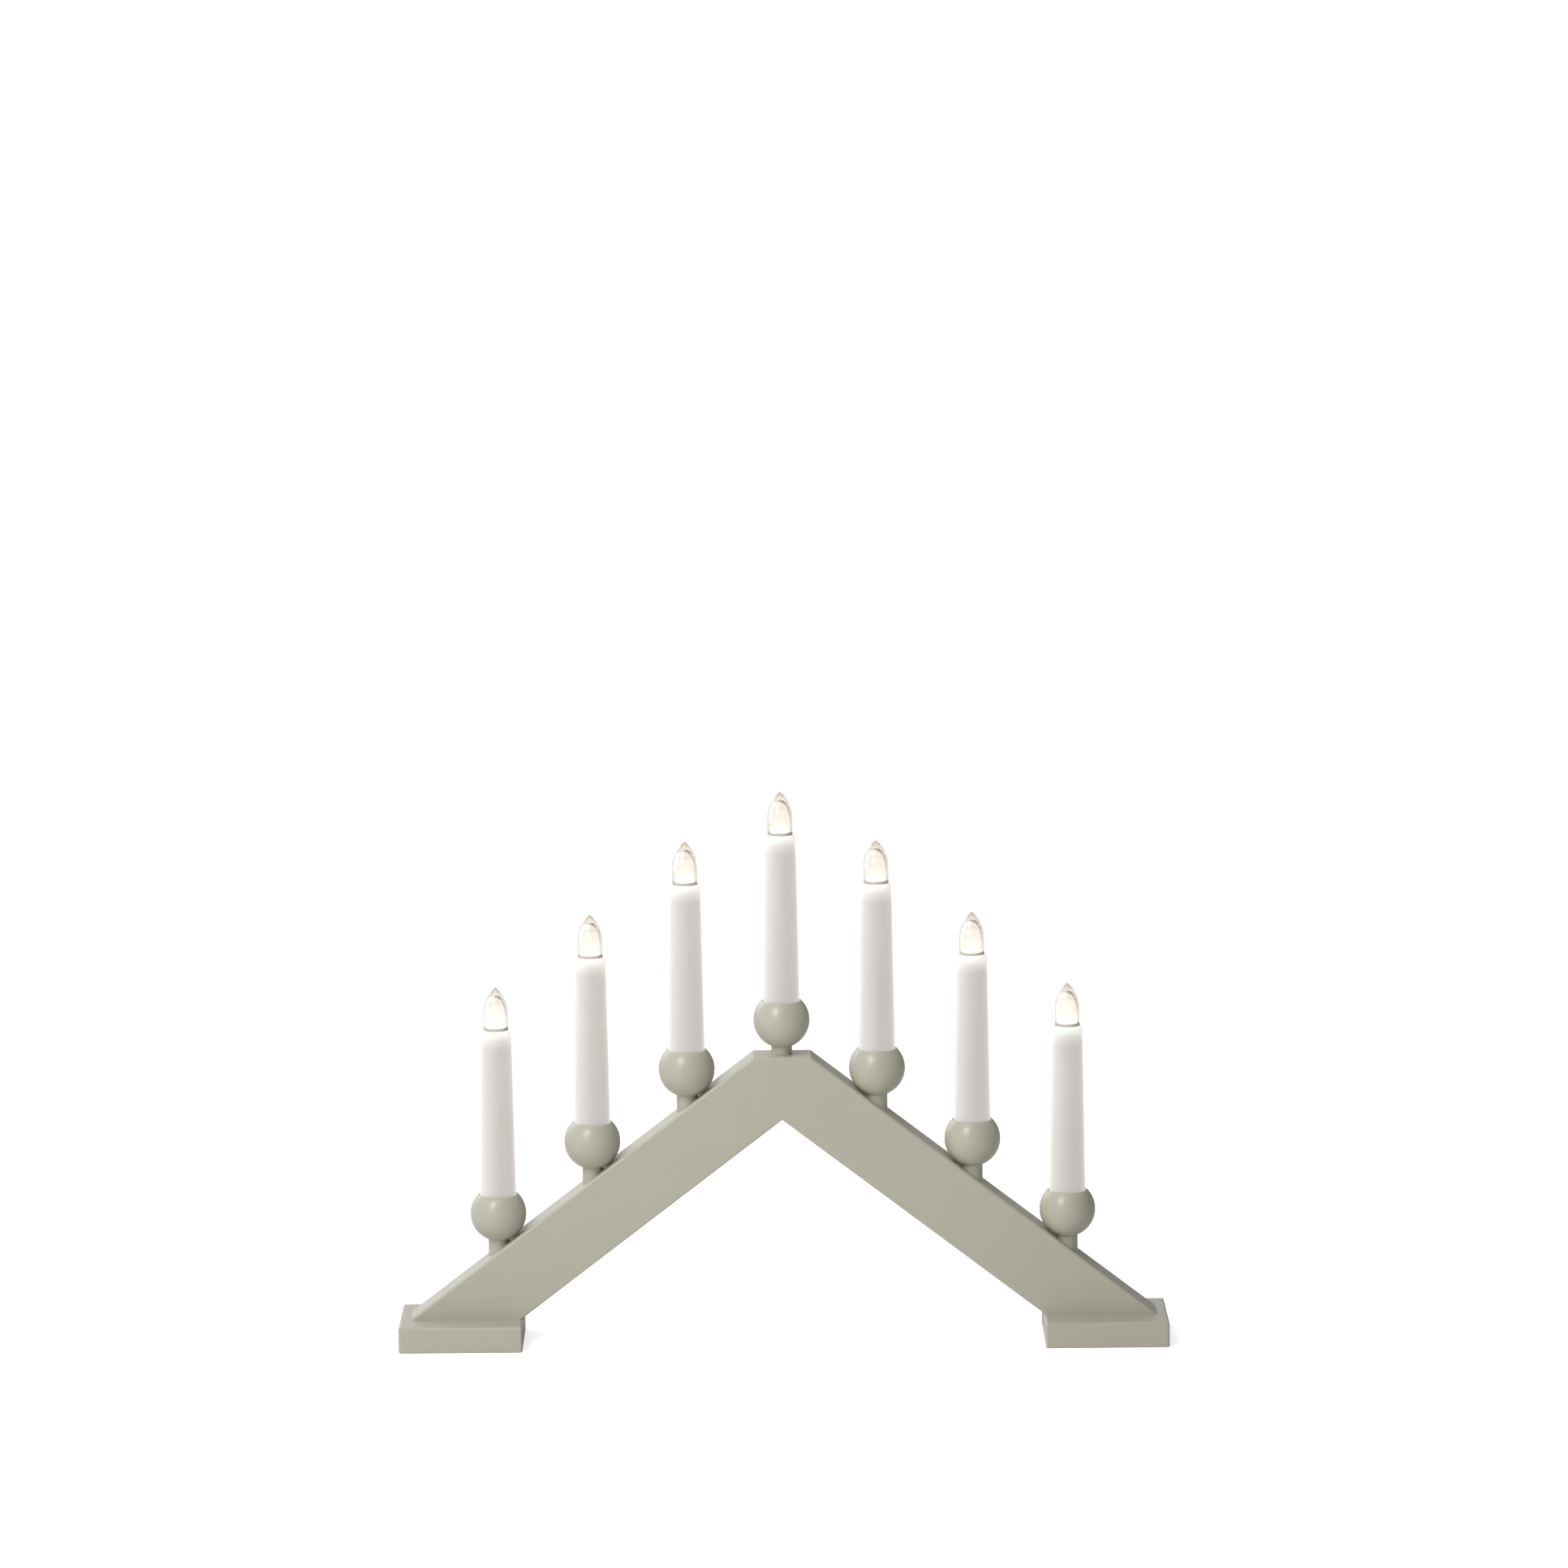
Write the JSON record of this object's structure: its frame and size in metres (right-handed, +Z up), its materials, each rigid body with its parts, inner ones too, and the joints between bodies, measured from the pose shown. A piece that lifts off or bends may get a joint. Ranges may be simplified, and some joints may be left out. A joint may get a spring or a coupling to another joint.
{
  "type": "electric candle arch",
  "caption": "Electric candle arch: mitred painted wooden beams on block feet carry turned cups, tapered candle sleeves and clear pointed screw-in bulbs.",
  "frame": {"origin": "on the supporting surface, under the middle of the arch", "axes": "+X along the arch to the right, +Y from front to back, +Z up"},
  "size_m": [0.431, 0.058, 0.3115],
  "materials": {
    "painted_wood": "warm grey satin paint over solid wood",
    "plain_wood": "raw",
    "steel": "zinc plated",
    "sleeve_plastic": "white, slightly translucent",
    "holder_plastic": "white",
    "brass": "plain",
    "clear_envelope": "clear and smooth",
    "core_plastic": "off-white",
    "wire_insulation": "white",
    "inlet_rubber": "pale grey"
  },
  "bodies": {
    "arch": {"left_foot": "painted_wood", "left_beam": "painted_wood", "left_channel_cover": "painted_wood", "right_foot": "painted_wood", "right_beam": "painted_wood", "right_channel_cover": "painted_wood", "mitre_dowels": "plain_wood", "foot_screws": "steel", "cover_nails": "steel", "cup_1": "painted_wood", "candle_sleeve_1": "sleeve_plastic", "cup_2": "painted_wood", "candle_sleeve_2": "sleeve_plastic", "cup_3": "painted_wood", "candle_sleeve_3": "sleeve_plastic", "cup_4": "painted_wood", "candle_sleeve_4": "sleeve_plastic", "cup_5": "painted_wood", "candle_sleeve_5": "sleeve_plastic", "cup_6": "painted_wood", "candle_sleeve_6": "sleeve_plastic", "cup_7": "painted_wood", "candle_sleeve_7": "sleeve_plastic", "lamp_holders": "holder_plastic", "socket_shells": "brass", "centre_contacts": "brass", "link_wires": "wire_insulation", "feed_wire": "wire_insulation", "return_wire": "wire_insulation", "wire_splices": "steel", "cord_inlet": "inlet_rubber"},
    "bulb_tip_1": {"bulb_contact_1": "brass"},
    "bulb_1": {"bulb_glass_1": "clear_envelope", "bulb_cap_1": "brass", "bulb_core_1": "core_plastic"},
    "bulb_tip_2": {"bulb_contact_2": "brass"},
    "bulb_2": {"bulb_glass_2": "clear_envelope", "bulb_cap_2": "brass", "bulb_core_2": "core_plastic"},
    "bulb_tip_3": {"bulb_contact_3": "brass"},
    "bulb_3": {"bulb_glass_3": "clear_envelope", "bulb_cap_3": "brass", "bulb_core_3": "core_plastic"},
    "bulb_tip_4": {"bulb_contact_4": "brass"},
    "bulb_4": {"bulb_glass_4": "clear_envelope", "bulb_cap_4": "brass", "bulb_core_4": "core_plastic"},
    "bulb_tip_5": {"bulb_contact_5": "brass"},
    "bulb_5": {"bulb_glass_5": "clear_envelope", "bulb_cap_5": "brass", "bulb_core_5": "core_plastic"},
    "bulb_tip_6": {"bulb_contact_6": "brass"},
    "bulb_6": {"bulb_glass_6": "clear_envelope", "bulb_cap_6": "brass", "bulb_core_6": "core_plastic"},
    "bulb_tip_7": {"bulb_contact_7": "brass"},
    "bulb_7": {"bulb_glass_7": "clear_envelope", "bulb_cap_7": "brass", "bulb_core_7": "core_plastic"}
  },
  "joints": [
    {"name": "bulb_lift_1", "type": "slide", "parent": "arch", "child": "bulb_tip_1", "axis": [0, 0, 1], "range_m": [0, 0.00769]},
    {"name": "bulb_turn_1", "type": "hinge", "parent": "bulb_tip_1", "child": "bulb_1", "pos_m": [-0.1596, 0, 0.2], "axis": [0, 0, 1], "range_deg": [0, 1530]},
    {"name": "bulb_lift_2", "type": "slide", "parent": "arch", "child": "bulb_tip_2", "axis": [0, 0, 1], "range_m": [0, 0.00769]},
    {"name": "bulb_turn_2", "type": "hinge", "parent": "bulb_tip_2", "child": "bulb_2", "pos_m": [-0.1064, 0, 0.2], "axis": [0, 0, 1], "range_deg": [0, 1530]},
    {"name": "bulb_lift_3", "type": "slide", "parent": "arch", "child": "bulb_tip_3", "axis": [0, 0, 1], "range_m": [0, 0.00769]},
    {"name": "bulb_turn_3", "type": "hinge", "parent": "bulb_tip_3", "child": "bulb_3", "pos_m": [-0.0532, 0, 0.2], "axis": [0, 0, 1], "range_deg": [0, 1530]},
    {"name": "bulb_lift_4", "type": "slide", "parent": "arch", "child": "bulb_tip_4", "axis": [0, 0, 1], "range_m": [0, 0.00769]},
    {"name": "bulb_turn_4", "type": "hinge", "parent": "bulb_tip_4", "child": "bulb_4", "pos_m": [0, 0, 0.2], "axis": [0, 0, 1], "range_deg": [0, 1530]},
    {"name": "bulb_lift_5", "type": "slide", "parent": "arch", "child": "bulb_tip_5", "axis": [0, 0, 1], "range_m": [0, 0.00769]},
    {"name": "bulb_turn_5", "type": "hinge", "parent": "bulb_tip_5", "child": "bulb_5", "pos_m": [0.0532, 0, 0.2], "axis": [0, 0, 1], "range_deg": [0, 1530]},
    {"name": "bulb_lift_6", "type": "slide", "parent": "arch", "child": "bulb_tip_6", "axis": [0, 0, 1], "range_m": [0, 0.00769]},
    {"name": "bulb_turn_6", "type": "hinge", "parent": "bulb_tip_6", "child": "bulb_6", "pos_m": [0.1064, 0, 0.2], "axis": [0, 0, 1], "range_deg": [0, 1530]},
    {"name": "bulb_lift_7", "type": "slide", "parent": "arch", "child": "bulb_tip_7", "axis": [0, 0, 1], "range_m": [0, 0.00769]},
    {"name": "bulb_turn_7", "type": "hinge", "parent": "bulb_tip_7", "child": "bulb_7", "pos_m": [0.1596, 0, 0.2], "axis": [0, 0, 1], "range_deg": [0, 1530]}
  ],
  "couplings": [
    {"joint": "bulb_lift_1", "follows": "bulb_turn_1", "m_per_rad": 0.00028807},
    {"joint": "bulb_lift_2", "follows": "bulb_turn_2", "m_per_rad": 0.00028807},
    {"joint": "bulb_lift_3", "follows": "bulb_turn_3", "m_per_rad": 0.00028807},
    {"joint": "bulb_lift_4", "follows": "bulb_turn_4", "m_per_rad": 0.00028807},
    {"joint": "bulb_lift_5", "follows": "bulb_turn_5", "m_per_rad": 0.00028807},
    {"joint": "bulb_lift_6", "follows": "bulb_turn_6", "m_per_rad": 0.00028807},
    {"joint": "bulb_lift_7", "follows": "bulb_turn_7", "m_per_rad": 0.00028807}
  ]
}
